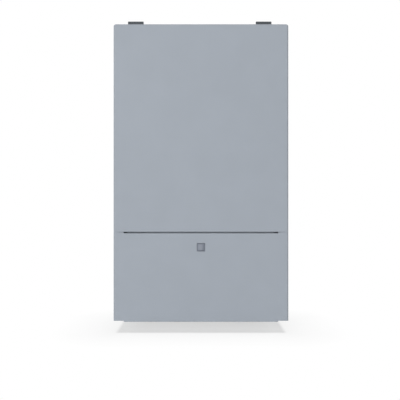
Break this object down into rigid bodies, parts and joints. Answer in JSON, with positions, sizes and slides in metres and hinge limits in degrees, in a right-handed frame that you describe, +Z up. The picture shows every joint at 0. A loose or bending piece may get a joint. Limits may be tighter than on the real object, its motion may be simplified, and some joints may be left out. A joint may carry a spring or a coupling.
{
  "type": "wall-hung gas condensing boiler",
  "caption": "Wall-hung condensing gas boiler in a grey-blue sheet casing: pull-off upper front, fold-down lower front with push latch, tilting control box, drum exchanger, fan, pump and pipe stubs.",
  "frame": {"origin": "on the wall, in the middle of the rear plate's back face, 30 mm below the top of the casing", "axes": "+Z up, +Y into the wall (out of the rear plate), +X to the right as seen from the front"},
  "size_m": [0.41, 0.2812, 0.772],
  "materials": {
    "casing_paint": "satin powder coat, grey-blue",
    "button_paint": "satin, darker grey-blue",
    "dark_steel": "dark grey zinc and passivate",
    "zinc_steel": "zinc-plated sheet",
    "stainless": "bright rolled stainless steel",
    "cast_aluminium": "blasted casting",
    "copper": "drawn copper tube",
    "brass": "machined brass casting",
    "black_plastic": "fine-grained moulding",
    "grey_plastic": "fine-grained moulding",
    "pale_plastic": "satin moulding",
    "white_plastic": "smooth moulding",
    "blue_plastic": "satin moulding",
    "red_plastic": "satin moulding",
    "red_paint": "semi-gloss enamel",
    "rubber": "closed-cell foam rubber",
    "ceramic": "glazed ceramic",
    "circuit_green": "lacquered board",
    "display_glass": "dark clear window"
  },
  "bodies": {
    "chassis": {"rear_frame": "zinc_steel", "left_hanger": "dark_steel", "right_hanger": "dark_steel", "left_side_panel": "casing_paint", "right_side_panel": "casing_paint", "top_cover": "casing_paint", "cross_rail": "zinc_steel", "front_seal": "rubber", "left_upper_panel_clip": "white_plastic", "left_lower_panel_clip": "white_plastic", "right_upper_panel_clip": "white_plastic", "right_lower_panel_clip": "white_plastic", "hinge_rod": "zinc_steel", "exchanger_shell": "stainless", "exchanger_coil": "stainless", "burner_door": "cast_aluminium", "burner_tube": "stainless", "ignition_electrode": "ceramic", "ignition_unit": "black_plastic", "ignition_lead": "red_plastic", "flue_pipe": "white_plastic", "flue_collar": "black_plastic", "fan_housing": "cast_aluminium", "fan_motor": "black_plastic", "burner_elbow": "cast_aluminium", "gas_mixer": "cast_aluminium", "air_silencer": "black_plastic", "gas_valve": "cast_aluminium", "bottom_tray": "zinc_steel", "diverter_block": "brass", "diverter_motor": "black_plastic", "plate_exchanger": "stainless", "pump_body": "brass", "pump_motor": "black_plastic", "heating_flow_pipe": "copper", "heating_return_pipe": "copper", "gas_pipe": "copper", "condensate_hose": "grey_plastic", "expansion_vessel": "red_paint", "condensate_trap": "pale_plastic"},
    "upper_panel": {"upper_front_panel": "casing_paint"},
    "control_unit": {"control_box": "grey_plastic", "control_fascia": "pale_plastic", "control_box_lid": "grey_plastic", "circuit_board": "circuit_green", "display_window": "display_glass", "gauge_body": "white_plastic", "catch_spring": "stainless"},
    "flap": {"front_flap": "casing_paint", "latch_housing": "black_plastic", "latch_spring": "stainless"},
    "button": {"latch_button": "button_paint"},
    "heating_dial": {"heating_knob": "white_plastic"},
    "water_dial": {"hot_water_knob": "white_plastic"},
    "standby": {"standby_button": "white_plastic"},
    "needle": {"gauge_needle": "black_plastic"},
    "fan": {"fan_wheel": "zinc_steel"},
    "pump": {"pump_wheel": "pale_plastic"},
    "relief": {"relief_valve_knob": "red_plastic"},
    "filling": {"filling_tap_knob": "blue_plastic"}
  },
  "joints": [
    {"name": "upper_panel_pull", "type": "slide", "parent": "chassis", "child": "upper_panel", "axis": [0, -1, 0], "range_m": [0, 0.12]},
    {"name": "box_tilt", "type": "hinge", "parent": "chassis", "child": "control_unit", "pos_m": [0, -0.274, -0.662], "axis": [1, 0, 0], "range_deg": [0, 90]},
    {"name": "flap_open", "type": "hinge", "parent": "control_unit", "child": "flap", "pos_m": [0, -0.274, -0.662], "axis": [1, 0, 0], "range_deg": [0, 85], "deforming": ["catch_spring"]},
    {"name": "button_press", "type": "slide", "parent": "flap", "child": "button", "axis": [0, 1, 0], "range_m": [0, 0.003], "stiffness_N_per_m": 400, "springref_m": -0.002, "deforming": ["latch_spring"]},
    {"name": "heating_turn", "type": "hinge", "parent": "control_unit", "child": "heating_dial", "pos_m": [0.105, -0.267, -0.56], "axis": [0, 1, 0], "range_deg": [-150, 150]},
    {"name": "hot_water_turn", "type": "hinge", "parent": "control_unit", "child": "water_dial", "pos_m": [0.152, -0.267, -0.56], "axis": [0, 1, 0], "range_deg": [-150, 150]},
    {"name": "standby_press", "type": "slide", "parent": "control_unit", "child": "standby", "axis": [0, 1, 0], "range_m": [0, 0.0015], "stiffness_N_per_m": 500, "springref_m": -0.001},
    {"name": "needle_turn", "type": "hinge", "parent": "control_unit", "child": "needle", "pos_m": [-0.12, -0.263, -0.56], "axis": [0, 1, 0], "range_deg": [-120, 120], "stiffness_Nm_per_rad": 0.002},
    {"name": "fan_spin", "type": "hinge", "parent": "chassis", "child": "fan", "pos_m": [-0.02, -0.22, -0.362], "axis": [0, 1, 0], "continuous": true},
    {"name": "pump_spin", "type": "hinge", "parent": "chassis", "child": "pump", "pos_m": [0.112, -0.1, -0.585], "axis": [0, 1, 0], "continuous": true},
    {"name": "relief_turn", "type": "hinge", "parent": "chassis", "child": "relief", "pos_m": [0.06, -0.14, -0.62], "axis": [0, 1, 0], "range_deg": [0, 90]},
    {"name": "filling_turn", "type": "hinge", "parent": "chassis", "child": "filling", "pos_m": [0.0975, -0.095, -0.672], "axis": [0, 0, 1], "range_deg": [0, 270]}
  ]
}
